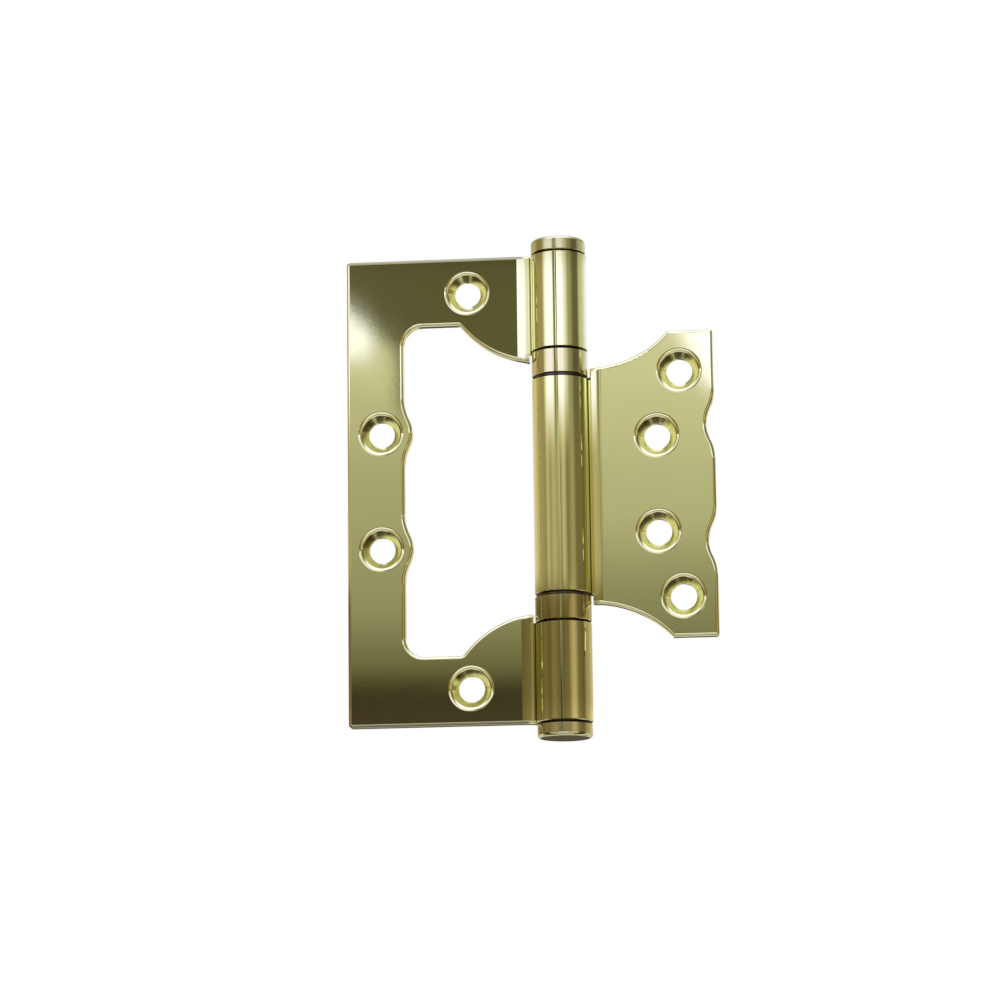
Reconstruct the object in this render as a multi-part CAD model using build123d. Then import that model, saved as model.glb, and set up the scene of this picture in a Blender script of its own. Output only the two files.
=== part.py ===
from build123d import *
from math import acos, atan2, cos, degrees, hypot, radians, sin
import os

# A flush hinge, opened flat. The pin axis is vertical, along Z. The frame leaf lies
# towards -X and the door leaf towards +X, with their countersunk faces towards -Y.
# Everything is modelled about the pin axis at mid-height, and shifted once at the
# end, so that the origin is the fixing centre on the back of the frame leaf.

# Sheet, pin and barrel. The barrel stacks knuckle, bearing, middle knuckle, bearing, knuckle
sheet = 2.5
pin_radius = 3.35
running_clearance = 0.05
leaf_height = 100.0
end_knuckle = 21.15
bearing_height = 5.7
curl_gap = 0.25
crank_run = 2.85
ring_relief = 0.45

# Edges of the sheet: rounded by the punch in front, broken behind and at the knuckles
front_edge = 0.7
back_edge = 0.35
knuckle_edge = 0.4

# Frame leaf, a C that the door leaf closes into
frame_reach = 45.2
spine_width = 12.1
arm_width = 14.6
frame_corner = 0.8
cutout_corner = 4.0
throat_past_knuckle = 2.0
arm_arc_across = 4.0
arm_flat = 12.0
arm_corner = 0.8
lobe_bulge = 1.75
lobe_corner = 10.0

# Door leaf, which clears the C all round
side_gap = 0.7
arm_gap = 2.8
throat_gap = 1.7
door_arc_across = 6.0
door_flat = 9.5
door_corner = 0.5

# Screw holes, countersunk with a rounded rim
screw_hole_radius = 2.75
countersink_radius = 4.35
countersink_angle = 90.0
countersink_rim = 1.2
spine_hole_offset = 0.3
spine_hole_up = 12.4
arm_hole_across = 19.4
arm_hole_offset = 0.4
door_outer_inset = 7.2
door_outer_down = 8.6
door_inner_offset = 0.3
door_inner_up = 10.2

# Button caps, pressed on the turned-down ends of the pin
cap_radius = 5.75
cap_height = 3.1
cap_edge = 0.75
cap_seat_edge = 0.35
spigot_radius = 2.2
spigot_length = 1.5
spigot_end_gap = 0.1
spigot_chamfer = 0.3

# Ball bearings between the knuckles
shell_wall = 0.35
shell_edge = 0.25
shell_end_gap = 0.25
race_clearance = 0.12
ball_count = 8
ball_radius = 0.7
ball_play = 0.05
groove_depth = 0.3
cage_play = 0.1

# Worked out from the sizes above
bore_radius = pin_radius + running_clearance
knuckle_radius = bore_radius + sheet
relief_across = knuckle_radius + ring_relief
bend_across = knuckle_radius + crank_run
half_height = leaf_height / 2
outer_start = half_height - end_knuckle
middle_end = outer_start - bearing_height
spine_inner = frame_reach - spine_width
lobe_tip = spine_inner - lobe_bulge
spine_hole_across = (frame_reach + lobe_tip) / 2 - spine_hole_offset
lobe_radius = spine_hole_across - lobe_tip
cutout_up = half_height - arm_width
arm_throat_up = outer_start - throat_past_knuckle
arm_hole_up = half_height - arm_width / 2 - arm_hole_offset
door_reach = spine_inner - side_gap
door_up = cutout_up - arm_gap
door_throat_up = arm_throat_up - throat_gap
scallop_radius = lobe_radius + side_gap
scallop_corner = lobe_corner - side_gap
lobe_rise = (lobe_radius**2 - (spine_hole_across - spine_inner) ** 2) ** 0.5
scallop_rise = (scallop_radius**2 - (spine_hole_across - door_reach) ** 2) ** 0.5
door_inner_across = (bend_across + door_reach) / 2 - door_inner_offset
shell_inner = knuckle_radius - shell_wall
race_radius = shell_inner - race_clearance
race_face = ball_radius + ball_play - groove_depth
race_height = (bearing_height - shell_wall) / 2 - race_face
pitch_radius = (bore_radius + shell_inner) / 2
ball_up = middle_end + race_height + race_face

# The leaf's holes, as distances from the pin axis and from mid-height
frame_holes = [(spine_hole_across, spine_hole_up), (arm_hole_across, arm_hole_up)]
door_outer_hole = (door_reach - door_outer_inset, door_up - door_outer_down)
door_holes = [door_outer_hole, (door_inner_across, door_inner_up)]
on_face = 0.001


def span(x_from, x_to, z_from, z_to):
    """Rectangle between two distances across and two heights."""
    centre = Pos((x_from + x_to) / 2, (z_from + z_to) / 2)
    return centre * Rectangle(x_to - x_from, z_to - z_from)


def both_ends(shape):
    """A shape above mid-height with its mirror image below."""
    return shape + mirror(shape, about=Plane.XZ)


def corners_at(outline, across, up):
    """Corners of an outline at a distance across, above and below mid-height."""
    return [corner for corner in outline.vertices()
            if hypot(corner.X - across, abs(corner.Y) - up) < on_face]


def polar(radius, angle):
    """Point at a radius and an angle in degrees from +X."""
    return (radius * cos(radians(angle)), radius * sin(radians(angle)))


def rolled_section(reach):
    """Sheet lying along +X that is cranked back and rolled round the pin, seen along the pin."""
    middle_radius = bore_radius + sheet / 2
    bend_radius = (bend_across**2 - middle_radius**2) / (2 * middle_radius)
    bend_centre = (bend_across, bend_radius)
    bend_front = bend_radius + sheet / 2
    bend_back = bend_radius - sheet / 2
    bend_distance = hypot(bend_across, bend_radius)
    to_bend = degrees(atan2(bend_radius, bend_across))
    bend_turn = 90 - to_bend
    lip_distance = bend_front + curl_gap
    lip_cosine = bend_distance**2 + knuckle_radius**2 - lip_distance**2
    lip_cosine /= 2 * bend_distance * knuckle_radius
    lip_turn = degrees(acos(lip_cosine))
    curl_turn = 360 - lip_turn
    curl_end = to_bend - lip_turn
    with BuildSketch() as section:
        with BuildLine():
            Line((reach, -sheet / 2), (bend_across, -sheet / 2))
            CenterArc(bend_centre, bend_front, -90, -bend_turn)
            CenterArc((0, 0), bore_radius, to_bend, curl_turn)
            Line(polar(bore_radius, curl_end), polar(knuckle_radius, curl_end))
            CenterArc((0, 0), knuckle_radius, curl_end, -curl_turn)
            CenterArc(bend_centre, bend_back, -90 - bend_turn, bend_turn)
            Line((bend_across, sheet / 2), (reach, sheet / 2))
            Line((reach, sheet / 2), (reach, -sheet / 2))
        make_face()
    return section.sketch


def countersunk(leaf, holes):
    """Leaf with countersunk holes above and below mid-height, and their rims rounded."""
    front = Plane.XZ.offset(sheet / 2)
    for across, up in holes:
        for z in (up, -up):
            hole = CounterSinkHole(screw_hole_radius, countersink_radius, 2 * sheet, countersink_angle)
            leaf -= front * Pos(across, z) * hole
    rims = [edge for edge in leaf.edges().filter_by(GeomType.CIRCLE)
            if abs(edge.radius - countersink_radius) < on_face
            and abs(edge.arc_center.Y + sheet / 2) < on_face]
    return fillet(rims, countersink_rim)


def flat_edges(leaf, y):
    """Edges round the flat part of a leaf, on its face at y."""
    boxes = [(edge, edge.bounding_box()) for edge in leaf.edges()]
    return [edge for edge, box in boxes if box.min.X > bend_across - on_face
            and abs(box.min.Y - y) < on_face and abs(box.max.Y - y) < on_face]


def cut_leaf(reach, outline, holes):
    """Roll a sheet, cut it to an outline in the plane of the leaf, finish its edges and drill it."""
    block = Pos(0, 0, -half_height) * extrude(rolled_section(reach), amount=leaf_height)
    leaf = block & extrude(Plane.XZ * outline, amount=leaf_height, both=True)
    ring_sides = [edge for edge in leaf.edges().filter_by(GeomType.CIRCLE)
                  if abs(edge.radius - knuckle_radius) < on_face
                  and abs(edge.arc_center.Z) < half_height - on_face]
    leaf = chamfer(ring_sides, knuckle_edge)
    leaf = fillet(flat_edges(leaf, -sheet / 2), front_edge)
    leaf = chamfer(flat_edges(leaf, sheet / 2), back_edge)
    return countersunk(leaf, holes)


def throat_arc(across, up, end_across, end_up):
    """Disc whose lowest point is at the throat, and whose edge meets the corner of the arm."""
    run, rise = end_across - across, end_up - up
    radius = (run**2 + rise**2) / (2 * rise)
    return Pos(across, up + radius) * Circle(radius)


def frame_outline():
    """Outline of the C-shaped leaf, laid out towards +X."""
    blank = span(-knuckle_radius, frame_reach, -half_height, half_height)
    blank = fillet(blank.vertices().group_by(Axis.X)[-1], frame_corner)
    cutout = span(relief_across, spine_inner, -cutout_up, cutout_up)
    cutout = fillet(cutout.vertices().group_by(Axis.X)[-1], cutout_corner)
    cutout -= both_ends(throat_arc(arm_arc_across, arm_throat_up, spine_inner - arm_flat, cutout_up))
    cutout -= both_ends(span(0, arm_arc_across, arm_throat_up, half_height))
    cutout = fillet(corners_at(cutout, spine_inner - arm_flat, cutout_up), arm_corner)
    cutout -= both_ends(Pos(spine_hole_across, spine_hole_up) * Circle(lobe_radius))
    lobe_corners = corners_at(cutout, spine_inner, spine_hole_up + lobe_rise)
    lobe_corners += corners_at(cutout, spine_inner, spine_hole_up - lobe_rise)
    cutout = fillet(lobe_corners, lobe_corner)
    return blank - cutout - span(-2 * knuckle_radius, relief_across, -outer_start, outer_start)


def door_outline():
    """Outline of the leaf that closes into the C, with the long middle knuckle."""
    outline = span(relief_across, door_reach, -door_up, door_up)
    outline = fillet(outline.vertices().group_by(Axis.X)[-1], door_corner)
    outline -= both_ends(throat_arc(door_arc_across, door_throat_up, door_reach - door_flat, door_up))
    outline -= both_ends(Pos(spine_hole_across, spine_hole_up) * Circle(scallop_radius))
    scallop_corners = corners_at(outline, door_reach, spine_hole_up + scallop_rise)
    scallop_corners += corners_at(outline, door_reach, spine_hole_up - scallop_rise)
    outline = fillet(scallop_corners, scallop_corner)
    return outline + span(-2 * knuckle_radius, relief_across, -middle_end, middle_end)


def frame_leaf():
    """C-shaped leaf with the two end knuckles."""
    return mirror(cut_leaf(frame_reach, frame_outline(), frame_holes), about=Plane.YZ)


def door_leaf():
    """Leaf that closes into the C, with the long middle knuckle."""
    return cut_leaf(door_reach, door_outline(), door_holes)


def turned(radius, bottom, top, bore=0.0):
    """Cylinder about the pin axis between two heights, with an optional bore."""
    solid = Pos(0, 0, bottom) * extrude(Circle(radius), amount=top - bottom)
    if bore:
        solid -= Pos(0, 0, bottom) * extrude(Circle(bore), amount=top - bottom)
    return solid


def hinge_pin():
    """Plain pin with a turned-down spigot at each end."""
    pin = turned(pin_radius, -half_height, half_height)
    tip = half_height + spigot_length
    spigots = turned(spigot_radius, -tip, tip)
    ends = spigots.edges().group_by(Axis.Z)
    return pin + chamfer(ends[0] + ends[-1], spigot_chamfer)


def cap():
    """Round-edged button that sits on the end of the upper knuckle."""
    button = turned(cap_radius, half_height, half_height + cap_height)
    button = fillet(button.edges().group_by(Axis.Z)[-1], cap_edge)
    button = chamfer(button.edges().group_by(Axis.Z)[0], cap_seat_edge)
    return button - turned(spigot_radius, half_height, half_height + spigot_length + spigot_end_gap)


def bearing_shell():
    """Pressed shell of the upper bearing, with its floor against the upper knuckle."""
    shell = turned(knuckle_radius, middle_end + shell_end_gap, outer_start)
    ends = shell.edges().group_by(Axis.Z)
    shell = chamfer(ends[0] + ends[-1], shell_edge)
    shell -= turned(shell_inner, middle_end, outer_start - shell_wall)
    return shell - turned(bore_radius, middle_end, outer_start)


def groove():
    """Ring that leaves a ball track in both races."""
    return Pos(0, 0, ball_up) * Torus(pitch_radius, ball_radius + ball_play)


def fixed_race():
    """Race that sits in the shell."""
    race = turned(race_radius, ball_up + race_face, outer_start - shell_wall, bore_radius)
    return race - groove()


def turning_race():
    """Race that sits on the middle knuckle and turns with it."""
    race = turned(race_radius, middle_end, ball_up - race_face, bore_radius)
    return race - groove()


def ball_places():
    """Centres of the balls, evenly spaced round the pin."""
    return [Pos(0, 0, ball_up) * loc for loc in PolarLocations(pitch_radius, ball_count)]


def ball_cage():
    """Flat ring with a round pocket for each ball."""
    half_cage = race_face - cage_play
    cage = turned(race_radius, ball_up - half_cage, ball_up + half_cage, bore_radius + race_clearance)
    for place in ball_places():
        cage -= place * Cylinder(ball_radius + ball_play, bearing_height)
    return cage


def write(name, shape):
    """Shift a piece to the fixing centre and write it as its own file."""
    export_step(Location((spine_hole_across, -sheet / 2, 0)) * shape, "parts/" + name + ".step")


def write_pair(name, shape):
    """Write a piece of the upper end and its mirror image for the lower end."""
    write("upper_" + name, shape)
    write("lower_" + name, mirror(shape, about=Plane.XY))


os.makedirs("parts", exist_ok=True)
write("frame_leaf", frame_leaf())
write("door_leaf", door_leaf())
write("hinge_pin", hinge_pin())
write_pair("cap", cap())
write_pair("bearing_shell", bearing_shell())
write_pair("fixed_race", fixed_race())
write_pair("turning_race", turning_race())
write_pair("ball_cage", ball_cage())
for number, place in enumerate(ball_places(), 1):
    write_pair("ball_" + str(number), place * Sphere(ball_radius))
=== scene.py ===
from math import radians

import bpy
from mathutils import Matrix, Vector


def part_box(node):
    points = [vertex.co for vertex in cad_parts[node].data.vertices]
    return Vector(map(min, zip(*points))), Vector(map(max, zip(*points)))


# A polished brass flush hinge, opened flat before a white backdrop. Lengths are in metres, and
# camera and studio angles in degrees
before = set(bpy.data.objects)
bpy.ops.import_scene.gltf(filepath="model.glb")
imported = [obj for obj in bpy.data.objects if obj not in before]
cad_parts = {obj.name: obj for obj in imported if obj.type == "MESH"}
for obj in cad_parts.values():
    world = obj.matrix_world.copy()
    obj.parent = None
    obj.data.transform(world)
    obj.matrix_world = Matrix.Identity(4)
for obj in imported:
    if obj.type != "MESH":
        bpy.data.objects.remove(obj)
bpy.context.view_layer.update()
pin_axis = (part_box("hinge_pin")[0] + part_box("hinge_pin")[1]) / 2

# Camera, set from the pin axis at mid-height: a little to the right and below, looking up
camera_offset = Vector((0.0620, -0.7569, -0.1505))
camera_pitch = 11.02
camera_yaw = -5.66
camera_roll = -0.71
camera_lens = 132.8
camera_near = 0.01

# Floor below the hinge
floor_drop = 0.19
floor_size = 6.0
floor_white = (0.93, 0.93, 0.92, 1.0)
floor_roughness = 0.9

# Places that the brass finish follows, measured from the pin axis at mid-height. Screw holes are
# across and up. Pairs are the start and end of a soft change, here in depth, with the front at -Y
screw_holes = ((-0.037975, 0.0124), (-0.0194, 0.0423), (0.0252, 0.0240), (0.020275, 0.0102))
countersink_radius = 0.0043
countersink_depth = (0.0011, 0.0008)
end_edge = 0.0493
front_rounding = (-0.0005, -0.0009)
barrel_radius = 0.0059
barrel_blend = 0.0010
seam_heights = (0.02325, 0.02885, 0.05000)
seam_half_widths = (0.00040, 0.00040, 0.00016)
seam_depth = 0.00014
shell_heights = (0.0236, 0.0286)

# Brass: its two tones, the duller caps and shells, painted shade for the seam grooves and the leaves' front
# end edges, and how much haze each adds to the polish
brass_tones = ((0.79, 0.77, 0.34, 1.0), (0.83, 0.82, 0.37, 1.0))
brass_tone_scale = 55.0
cap_brass = (0.72, 0.68, 0.31, 1.0)
shell_brass = (0.66, 0.615, 0.27, 1.0)
# Painted shade: a dark colour on the front rounding of the leaves' top and bottom edges, standing in for a
# dark reflection there
painted_end_shade = (0.34, 0.31, 0.14, 1.0)
# Painted shade: near-black colour laid into the grooves at the bearing shells and caps, where shadow falls
# between parts
painted_seam_shade = (0.075, 0.055, 0.025, 1.0)
brass_haze = (0.028, 0.036)
haze_scale = 260.0
cap_haze = 0.13
seam_haze = 0.30
countersink_haze = 0.12
end_haze = 0.10

# Relief of the brass: waves in the sheet, lines drawn along the barrel, and polishing marks
relief_depth = 0.00002
wave_scale = 38.0
wave_share = 0.1
drawn_scale = (900.0, 900.0, 18.0)
drawn_share = 0.6
polish_scale = (1500.0, 1500.0, 9000.0)
polish_share = 0.02

# Steel of the pin and of the oiled bearings, and plastic of the ball cages
pin_tones = ((0.42, 0.42, 0.43, 1.0), (0.56, 0.56, 0.57, 1.0))
pin_roughness = (0.22, 0.38)
bearing_tones = ((0.14, 0.13, 0.11, 1.0), (0.22, 0.20, 0.17, 1.0))
bearing_roughness = (0.12, 0.22)
turning_scale = (60.0, 60.0, 9000.0)
turning_depth = 0.000004
cage_tones = ((0.62, 0.58, 0.48, 1.0), (0.72, 0.68, 0.57, 1.0))
cage_roughness = (0.42, 0.58)
cage_grain = 2500.0
cage_depth = 0.00001

# The studio as the metal mirrors it. Each ring is its brightness by azimuth, where 0 is straight
# behind the camera and + is to its right
ring_span = (-180.0, 180.0)
upper_ring = [
    (-180, 0.90), (-135, 0.70), (-115, 0.80), (-100, 0.40), (-70, 0.40), (-55, 1.15), (-45, 1.40),
    (-28, 1.40), (-21, 1.15), (-17, 0.20), (-13, 0.20), (-9, 1.05), (0, 1.40), (15, 1.40), (30, 0.90),
    (45, 0.40), (70, 0.15), (85, 0.15), (100, 0.60), (155, 1.05), (180, 0.90)]
middle_ring = [
    (-180, 0.90), (-135, 0.80), (-110, 0.60), (-85, 0.40), (-65, 0.35), (-55, 0.60), (-40, 0.40),
    (-30, 0.55), (-20, 0.50), (-3, 0.25), (12, 0.60), (30, 0.25), (50, 0.40), (70, 0.20), (105, 0.20),
    (150, 0.60), (180, 0.90)]
lower_ring = [
    (-180, 0.80), (-135, 0.25), (-115, 0.15), (-95, 0.15), (-80, 0.20), (-55, 0.15), (-40, 0.25),
    (-5, 0.15), (20, 0.20), (45, 0.55), (70, 0.20), (90, 0.15), (110, 0.40), (150, 0.65), (180, 0.80)]
ground_ring = [
    (-180, 0.50), (-106, 0.60), (-98, 0.04), (-68, 0.04), (-56, 0.50), (-30, 0.35), (0, 0.35),
    (30, 0.50), (56, 0.50), (68, 0.04), (98, 0.04), (106, 0.60), (180, 0.50)]
middle_warmth = (1.0, 0.88, 0.75)
lower_warmth = (1.0, 0.82, 0.66)
ground_warmth = (1.0, 0.94, 0.86)
left_warmth = (1.0, 0.84, 0.68, 1.0)
left_side = (-64.0, -52.0)

# How the ground ring changes with elevation, and the elevations at which the rings meet
ground_span = (-60.0, 0.0)
ground_depth = [(-45.0, 0.55), (-36.0, 0.75), (-22.0, 1.15), (-14.0, 1.05), (-4.0, 0.75)]
middle_start = (9.4, 9.9)
upper_start = (11.6, 13.0)
ground_start = (4.0, -4.0)

# The panels that the flat leaves mirror, as brightness by elevation. From left to right they are
# for the spine and the arms of the frame leaf, and for the door leaf
panel_span = (0.0, 24.0)
spine_panel = [(8.1, 0.05), (8.5, 0.20), (9.5, 0.35), (11.0, 0.45), (12.5, 0.58), (13.3, 0.72),
               (13.85, 0.75), (13.98, 0.12)]
arm_panel = [(8.1, 0.05), (8.5, 0.20), (9.5, 0.35), (11.0, 0.45), (12.2, 0.55), (12.6, 0.12)]
door_panel = [(8.6, 0.20), (9.3, 0.30), (11.0, 0.55), (12.5, 0.66), (13.0, 0.72)]
spine_to_arms = (-7.32, -7.22)
arms_to_door = (-4.9, -4.2)
panels_left = (-12.0, -9.5)
panels_right = (-1.5, 0.5)
panels_foot = (1.0, 4.0)
panels_top = (17.0, 22.0)

# The spine's panel leans above its middle, and ends in a glare at its upper left
spine_middle = -8.0
spine_lean = 0.8
spine_lean_start = (12.0, 13.2)
spine_glare = (1.45, 1.45, 1.45, 1.0)
glare_side = (-7.55, -7.82)
glare_foot = (13.16, 13.34)
glare_top = (13.98, 13.88)

# The bright upper corner of the door leaf's panel, with a leaning side
corner_light = (1.7, 1.7, 1.7, 1.0)
corner_height = 13.4
corner_lean = 0.44
corner_side = (-2.75, -2.5)
corner_foot = (12.6, 12.9)

# Light above and below the hinge's ends: dimmer over the upper cap, brighter from the lower one down
top_dimming = (0.68, 0.68, 0.68)
top_start = (14.62, 14.85)
foot_lift = (1.35, 1.32, 1.40)
foot_start = (7.86, 7.66)

# Floor, ceiling, walls, table and cards. Bands are low, high and the width of their soft edges.
# Backs are how far a direction points backwards, from -1 to 1
floor_light = (0.60, 0.60, 0.60, 1.0)
floor_front = (60.0, 48.0)
floor_rear = (110.0, 122.0)
floor_band = (-64.0, -46.0, 6.0)
floor_below = (0.05, 0.05, 0.05, 1.0)
floor_below_start = (-64.0, -71.0)
bench_behind = (1.20, 1.20, 1.30, 1.0)
bench_back = (0.03, 0.12)
bench_band = (-84.0, -73.0, 3.0)
ceiling = (1.5, 1.5, 1.5, 1.0)
ceiling_start = (32.0, 55.0)
wall_behind = (0.40, 0.40, 0.40, 1.0)
wall_back = (-0.02, 0.12)
wall_band = (22.0, 62.0, 6.0)
front_table = (1.1, 1.1, 1.1, 1.0)
table_width = (-20.0, 14.0, 8.0)
table_band = (-26.0, -8.0, 4.0)
dark_card = (0.09, 0.09, 0.09, 1.0)
card_left = (-179.5, -178.0)
card_right = (-167.0, -170.0)
card_top = (0.0, -3.0)
card_foot = (-24.0, -19.0)

# Colour of the studio's light by its brightness, the white that the camera sees, and the plain
# light for all that isn't mirrored
tint_span = (0.0, 1.3)
light_tint = [(0.05, (1.0, 0.82, 0.60)), (0.12, (1.0, 0.95, 0.68)), (0.35, (1.0, 1.0, 0.92)),
              (0.62, (1.0, 1.0, 1.0)), (1.20, (1.0, 1.02, 1.80))]
white = (1.0, 1.0, 1.0, 1.0)
plain_light = 0.8


def add(tree, kind, inputs=None, **settings):
    """Add a node, set its properties, and set or link its inputs."""
    made = tree.nodes.new(kind)
    for name, value in settings.items():
        setattr(made, name, value)
    for name, value in (inputs or {}).items():
        if isinstance(value, bpy.types.NodeSocket):
            tree.links.new(value, made.inputs[name])
        else:
            made.inputs[name].default_value = value
    return made


def maths(tree, operation, first, second=0.0, clamp=False):
    """Output of one Math node."""
    made = add(tree, "ShaderNodeMath", {0: first, 1: second}, operation=operation, use_clamp=clamp)
    return made.outputs[0]


def product(tree, first, *others):
    """Values multiplied together."""
    for other in others:
        first = maths(tree, "MULTIPLY", first, other)
    return first


def total(tree, first, *others):
    """Values added together."""
    for other in others:
        first = maths(tree, "ADD", first, other)
    return first


def remap(tree, value, low, high, to_low=0.0, to_high=1.0, kind="SMOOTHSTEP"):
    """Soft change from one value to another between two limits, which may fall as well as rise."""
    sizes = {"Value": value, "From Min": low, "From Max": high, "To Min": to_low, "To Max": to_high}
    return add(tree, "ShaderNodeMapRange", sizes, interpolation_type=kind).outputs["Result"]


def ramp(tree, value, low, high, stops):
    """Grey or colour by value, through a colour ramp whose stops are given in the value's own units."""
    place = remap(tree, value, low, high, kind="LINEAR")
    made = add(tree, "ShaderNodeValToRGB", {"Fac": place})
    made.color_ramp.interpolation = "EASE"
    elements = made.color_ramp.elements
    for number, (at, shade) in enumerate(stops):
        position = (at - low) / (high - low)
        stop = elements[number] if number < 2 else elements.new(position)
        stop.position = position
    for stop, (at, shade) in zip(elements, stops):
        colour = shade if isinstance(shade, tuple) else (shade, shade, shade)
        stop.color = (*colour, 1.0)
    return made.outputs["Color"]


def blend(tree, factor, first, second):
    """Colour mixed from the first to the second by a factor."""
    sockets = {"Factor": factor, "A": first, "B": second}
    made = tree.nodes.new("ShaderNodeMix")
    made.data_type = "RGBA"
    for name, value in sockets.items():
        socket = next(s for s in made.inputs if s.name == name and (name == "Factor" or s.type == "RGBA"))
        if isinstance(value, bpy.types.NodeSocket):
            tree.links.new(value, socket)
        else:
            socket.default_value = value
    return next(s for s in made.outputs if s.type == "RGBA")


def tinted(tree, colour, tint):
    """Colour multiplied by a tint."""
    return add(tree, "ShaderNodeVectorMath", {0: colour, 1: tint}, operation="MULTIPLY").outputs["Vector"]


def band(tree, value, low, high, soft):
    """One between two values, falling to nothing over a soft edge outside them."""
    return product(tree, remap(tree, value, low - soft, low), remap(tree, value, high + soft, high))


def noise(tree, place, scale, detail=2.0, roughness=0.5):
    """Grey noise, 0 to 1."""
    sizes = {"Vector": place, "Scale": scale, "Detail": detail, "Roughness": roughness}
    return add(tree, "ShaderNodeTexNoise", sizes).outputs["Fac"]


def distance(tree, across, up):
    """Length of a flat vector."""
    flat = add(tree, "ShaderNodeCombineXYZ", {"X": across, "Y": up})
    return add(tree, "ShaderNodeVectorMath", {0: flat.outputs[0]}, operation="LENGTH").outputs["Value"]


def new_material(name):
    """Empty node material with its shader, and object coordinates centred on the pin."""
    material = bpy.data.materials.new(name)
    material.use_nodes = True
    tree = material.node_tree
    tree.nodes.clear()
    shader = add(tree, "ShaderNodeBsdfPrincipled")
    add(tree, "ShaderNodeOutputMaterial", {"Surface": shader.outputs["BSDF"]})
    coordinates = add(tree, "ShaderNodeTexCoord")
    centre = add(tree, "ShaderNodeMapping", {"Vector": coordinates.outputs["Object"],
                                             "Location": tuple(-pin_axis)})
    return material, tree, shader, centre.outputs["Vector"]


def stretched(tree, place, scale):
    """Coordinates scaled along each axis."""
    return add(tree, "ShaderNodeMapping", {"Vector": place, "Scale": scale}).outputs["Vector"]


def embossed(tree, shader, height, depth, strength):
    """Give the surface a fine relief."""
    bump = add(tree, "ShaderNodeBump", {"Height": height, "Distance": depth, "Strength": strength})
    tree.links.new(bump.outputs["Normal"], shader.inputs["Normal"])


def barrel_seams(tree, height, from_axis):
    """One in the shadow grooves at the bearing shells and at the caps."""
    in_seam = 0.0
    for seam, half_width in zip(seam_heights, seam_half_widths):
        from_seam = maths(tree, "ABSOLUTE", maths(tree, "SUBTRACT", height, seam))
        at_seam = remap(tree, from_seam, half_width + seam_depth, half_width)
        in_seam = total(tree, in_seam, at_seam)
    recessed = remap(tree, from_axis, barrel_radius - 0.3 * seam_depth, barrel_radius - seam_depth)
    return maths(tree, "MULTIPLY", in_seam, recessed, clamp=True)


def countersinks(tree, axes, height):
    """One on the sloping walls of the screw holes, but not on the flat back face round them."""
    drilled = 0.0
    for across, up in screw_holes:
        off_across = maths(tree, "SUBTRACT", axes.outputs["X"], across)
        off_up = maths(tree, "SUBTRACT", height, up)
        in_hole = remap(tree, distance(tree, off_across, off_up),
                        countersink_radius, countersink_radius - 2 * seam_depth)
        drilled = total(tree, drilled, in_hole)
    return product(tree, drilled, remap(tree, axes.outputs["Y"], *countersink_depth))


def polished_brass():
    """Mirror-polished brass: soft waves in the sheet, drawn lines along the barrel, faint haze, and painted
    shade in the seams and along the leaves' front end edges.
    """
    material, tree, shader, place = new_material("polished_brass")
    axes = add(tree, "ShaderNodeSeparateXYZ", {"Vector": place})
    height = maths(tree, "ABSOLUTE", axes.outputs["Z"])
    from_axis = distance(tree, axes.outputs["X"], axes.outputs["Y"])
    on_barrel = remap(tree, from_axis, barrel_radius + barrel_blend, barrel_radius)
    near_barrel = remap(tree, from_axis, barrel_radius + 2 * barrel_blend, barrel_radius + barrel_blend)
    on_cap = remap(tree, height, seam_heights[2], seam_heights[2] + seam_depth)
    on_shell = product(tree, near_barrel, band(tree, height, *shell_heights, seam_depth))
    in_seam = barrel_seams(tree, height, from_axis)
    drilled = countersinks(tree, axes, height)
    on_end = product(tree, maths(tree, "SUBTRACT", 1.0, near_barrel),
                     remap(tree, height, end_edge, end_edge + seam_depth),
                     remap(tree, axes.outputs["Y"], *front_rounding))

    shade = blend(tree, noise(tree, place, brass_tone_scale, 3.0), *brass_tones)
    shade = blend(tree, on_cap, shade, cap_brass)
    shade = blend(tree, on_shell, shade, shell_brass)
    # Painted shade darkens the grooves between the barrel's parts
    shade = blend(tree, in_seam, shade, painted_seam_shade)
    # Painted shade: the front rounding of the leaves' end edges is coloured dark, as a painted reflection
    shade = blend(tree, on_end, shade, painted_end_shade)
    tree.links.new(shade, shader.inputs["Base Color"])
    shader.inputs["Metallic"].default_value = 1.0

    haze = remap(tree, noise(tree, place, haze_scale, 4.0, 0.6), 0.3, 0.75, *brass_haze)
    haze = total(tree, haze, product(tree, on_cap, cap_haze), product(tree, in_seam, seam_haze),
                 product(tree, drilled, countersink_haze), product(tree, on_end, end_haze))
    tree.links.new(haze, shader.inputs["Roughness"])

    waves = noise(tree, place, wave_scale, 1.0)
    drawn = noise(tree, stretched(tree, place, drawn_scale), 1.0)
    polish = noise(tree, stretched(tree, place, polish_scale), 1.0)
    relief = total(tree, product(tree, waves, wave_share), product(tree, drawn, on_barrel, drawn_share),
                   product(tree, polish, polish_share))
    embossed(tree, shader, relief, relief_depth, 1.0)
    return material


def turned_steel(name, tones, roughness):
    """Bare steel with fine turning lines round the pin."""
    material, tree, shader, place = new_material(name)
    lines = noise(tree, stretched(tree, place, turning_scale), 1.0, 3.0)
    tree.links.new(blend(tree, lines, *tones), shader.inputs["Base Color"])
    shader.inputs["Metallic"].default_value = 1.0
    tree.links.new(remap(tree, lines, 0.3, 0.7, *roughness), shader.inputs["Roughness"])
    embossed(tree, shader, lines, turning_depth, 0.5)
    return material


def moulded_plastic():
    """Pale moulded plastic of the ball cages."""
    material, tree, shader, place = new_material("cage_plastic")
    grain = noise(tree, place, cage_grain, 3.0)
    tree.links.new(blend(tree, grain, *cage_tones), shader.inputs["Base Color"])
    tree.links.new(remap(tree, grain, 0.3, 0.7, *cage_roughness), shader.inputs["Roughness"])
    embossed(tree, shader, grain, cage_depth, 0.4)
    return material


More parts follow.
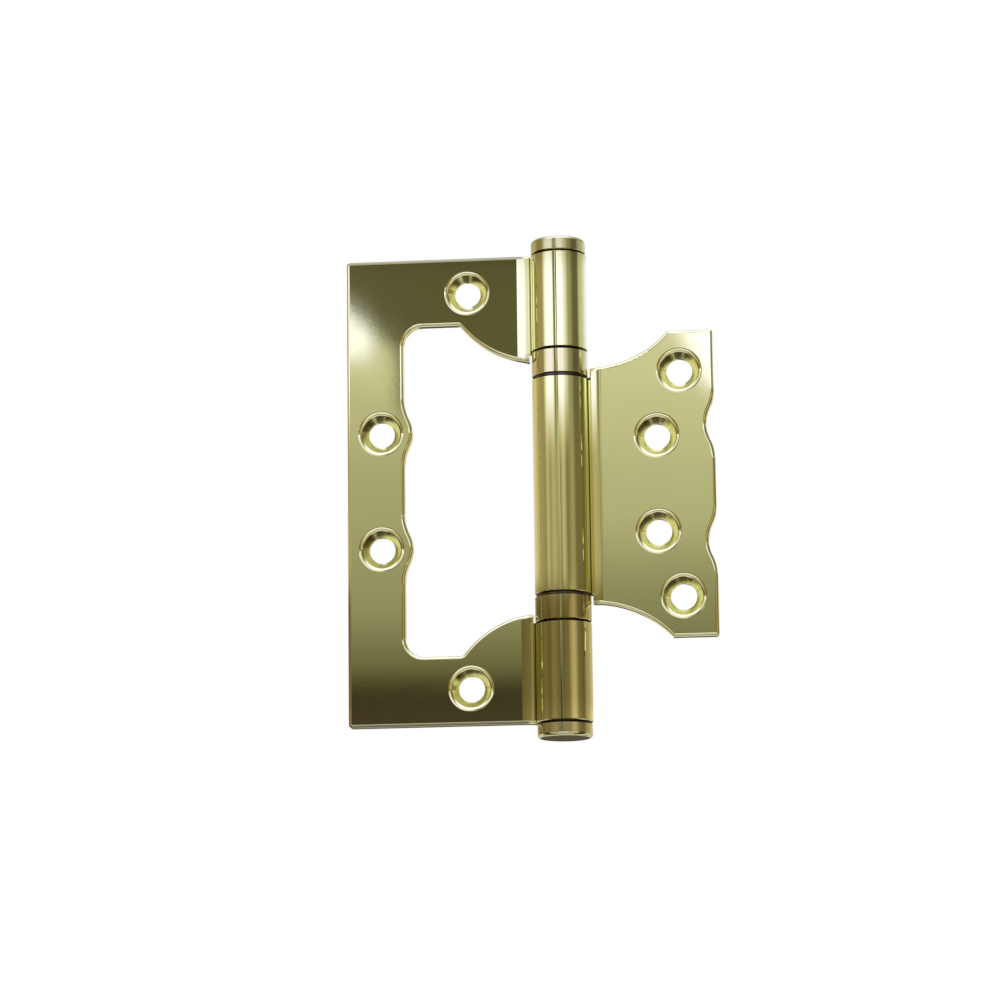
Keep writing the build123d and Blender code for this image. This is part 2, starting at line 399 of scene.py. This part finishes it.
def finish_nodes():
    """Give every CAD node its finish by the slot its record names."""
    finishes = {
        "polished_brass": polished_brass(),
        "pin_steel": turned_steel("pin_steel", pin_tones, pin_roughness),
        "bearing_steel": turned_steel("bearing_steel", bearing_tones, bearing_roughness),
        "cage_plastic": moulded_plastic()}
    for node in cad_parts.values():
        for slot in node.material_slots:
            slot.material = finishes[slot.material.name.split(".")[0]]


def light_rings(tree, azimuth, elevation):
    """Rings of light round the hinge, one above the other."""
    upper = ramp(tree, azimuth, *ring_span, upper_ring)
    upper = tinted(tree, upper, blend(tree, remap(tree, azimuth, *left_side), left_warmth, white))
    middle = tinted(tree, ramp(tree, azimuth, *ring_span, middle_ring), middle_warmth)
    lower = tinted(tree, ramp(tree, azimuth, *ring_span, lower_ring), lower_warmth)
    rings = blend(tree, remap(tree, elevation, *middle_start), lower, middle)
    return blend(tree, remap(tree, elevation, *upper_start), rings, upper)


def ground_light(tree, azimuth, elevation):
    """Light round the hinge below the horizon."""
    ground = tinted(tree, ramp(tree, azimuth, *ring_span, ground_ring), ground_warmth)
    return tinted(tree, ground, ramp(tree, elevation, *ground_span, ground_depth))


def leaf_panels(tree, azimuth, elevation):
    """The panels that the flat leaves mirror, and one where they stand in the rings."""
    from_middle = maths(tree, "SUBTRACT", azimuth, spine_middle)
    leaning = product(tree, from_middle, remap(tree, elevation, *spine_lean_start), spine_lean)
    leaning = total(tree, elevation, leaning)
    glare = product(tree, remap(tree, azimuth, *glare_side), remap(tree, elevation, *glare_foot),
                    remap(tree, leaning, *glare_top))
    spine = blend(tree, glare, ramp(tree, leaning, *panel_span, spine_panel), spine_glare)
    arms = ramp(tree, elevation, *panel_span, arm_panel)
    corner = product(tree, maths(tree, "SUBTRACT", elevation, corner_height), corner_lean)
    corner = product(tree, remap(tree, total(tree, azimuth, corner), *corner_side),
                     remap(tree, elevation, *corner_foot))
    door = blend(tree, corner, ramp(tree, elevation, *panel_span, door_panel), corner_light)
    panels = blend(tree, remap(tree, azimuth, *spine_to_arms), spine, arms)
    panels = blend(tree, remap(tree, azimuth, *arms_to_door), panels, door)
    across = maths(tree, "SUBTRACT", remap(tree, azimuth, *panels_left), remap(tree, azimuth, *panels_right))
    up = maths(tree, "SUBTRACT", remap(tree, elevation, *panels_foot), remap(tree, elevation, *panels_top))
    return panels, product(tree, across, up)


def floor_and_walls(tree, azimuth, elevation, backwards, studio):
    """Lay floor, bench, ceiling, wall, table and card over the studio, each over the last."""
    aside = maths(tree, "ABSOLUTE", azimuth)
    open_floor = total(tree, remap(tree, aside, *floor_front), remap(tree, aside, *floor_rear))
    open_floor = product(tree, open_floor, band(tree, elevation, *floor_band))
    studio = blend(tree, open_floor, studio, floor_light)
    studio = blend(tree, remap(tree, elevation, *floor_below_start), studio, floor_below)
    studio = blend(tree, remap(tree, elevation, *top_start), studio, tinted(tree, studio, top_dimming))
    studio = blend(tree, remap(tree, elevation, *foot_start), studio, tinted(tree, studio, foot_lift))
    bench = product(tree, remap(tree, backwards, *bench_back), band(tree, elevation, *bench_band))
    studio = blend(tree, bench, studio, bench_behind)
    studio = blend(tree, remap(tree, elevation, *ceiling_start), studio, ceiling)
    wall = product(tree, remap(tree, backwards, *wall_back), band(tree, elevation, *wall_band))
    studio = blend(tree, wall, studio, wall_behind)
    table = product(tree, band(tree, azimuth, *table_width), band(tree, elevation, *table_band))
    studio = blend(tree, table, studio, front_table)
    card = product(tree, remap(tree, azimuth, *card_left), remap(tree, azimuth, *card_right),
                   remap(tree, elevation, *card_top), remap(tree, elevation, *card_foot))
    return blend(tree, card, studio, dark_card)


def studio_world():
    """White for the camera, soft light panels for what the metal mirrors, and plain light besides."""
    world = bpy.data.worlds.new("studio")
    bpy.context.scene.world = world
    world.use_nodes = True
    tree = world.node_tree
    tree.nodes.clear()
    direction = add(tree, "ShaderNodeTexCoord").outputs["Generated"]
    axes = add(tree, "ShaderNodeSeparateXYZ", {"Vector": direction})
    backwards = axes.outputs["Y"]
    towards_camera = maths(tree, "MULTIPLY", backwards, -1.0)
    azimuth = maths(tree, "DEGREES", maths(tree, "ARCTAN2", axes.outputs["X"], towards_camera))
    elevation = maths(tree, "DEGREES", maths(tree, "ARCSINE", axes.outputs["Z"]))

    panels, in_panels = leaf_panels(tree, azimuth, elevation)
    studio = blend(tree, in_panels, light_rings(tree, azimuth, elevation), panels)
    ground = ground_light(tree, azimuth, elevation)
    studio = blend(tree, remap(tree, elevation, *ground_start), studio, ground)
    studio = floor_and_walls(tree, azimuth, elevation, backwards, studio)
    brightness = add(tree, "ShaderNodeRGBToBW", {"Color": studio}).outputs["Val"]
    studio = tinted(tree, studio, ramp(tree, brightness, *tint_span, light_tint))

    rays = add(tree, "ShaderNodeLightPath")
    seen = add(tree, "ShaderNodeBackground", {"Color": white, "Strength": 1.0})
    mirrored = add(tree, "ShaderNodeBackground", {"Color": studio, "Strength": 1.0})
    plain = add(tree, "ShaderNodeBackground", {"Color": white, "Strength": plain_light})
    lit = add(tree, "ShaderNodeMixShader", {0: rays.outputs["Is Glossy Ray"], 1: plain.outputs[0],
                                            2: mirrored.outputs[0]})
    shown = add(tree, "ShaderNodeMixShader", {0: rays.outputs["Is Camera Ray"], 1: lit.outputs[0],
                                              2: seen.outputs[0]})
    add(tree, "ShaderNodeOutputWorld", {"Surface": shown.outputs[0]})


def pale_floor():
    """Pale matt floor below the hinge, left out of what the metal mirrors."""
    mesh = bpy.data.meshes.new("floor")
    floor = bpy.data.objects.new("floor", mesh)
    bpy.context.scene.collection.objects.link(floor)
    half = floor_size / 2
    level = -floor_drop
    corners = [(-half, -half, level), (half, -half, level), (half, half, level), (-half, half, level)]
    mesh.from_pydata(corners, [], [(0, 1, 2, 3)])
    material, tree, shader, place = new_material("floor")
    shader.inputs["Base Color"].default_value = floor_white
    shader.inputs["Roughness"].default_value = floor_roughness
    mesh.materials.append(material)
    floor.visible_glossy = False


def photo_camera():
    """Camera at the photograph's viewing angle."""
    data = bpy.data.cameras.new("camera")
    camera = bpy.data.objects.new("camera", data)
    bpy.context.scene.collection.objects.link(camera)
    data.lens = camera_lens
    data.clip_start = camera_near
    turn = Matrix.Rotation(-radians(camera_yaw), 4, "Z")
    turn @= Matrix.Rotation(radians(90.0 + camera_pitch), 4, "X")
    turn @= Matrix.Rotation(radians(camera_roll), 4, "Z")
    camera.matrix_world = Matrix.Translation(pin_axis + camera_offset) @ turn
    bpy.context.scene.camera = camera


finish_nodes()
studio_world()
pale_floor()
photo_camera()
bpy.context.scene.view_settings.view_transform = "Standard"

bpy.context.view_layer.update()
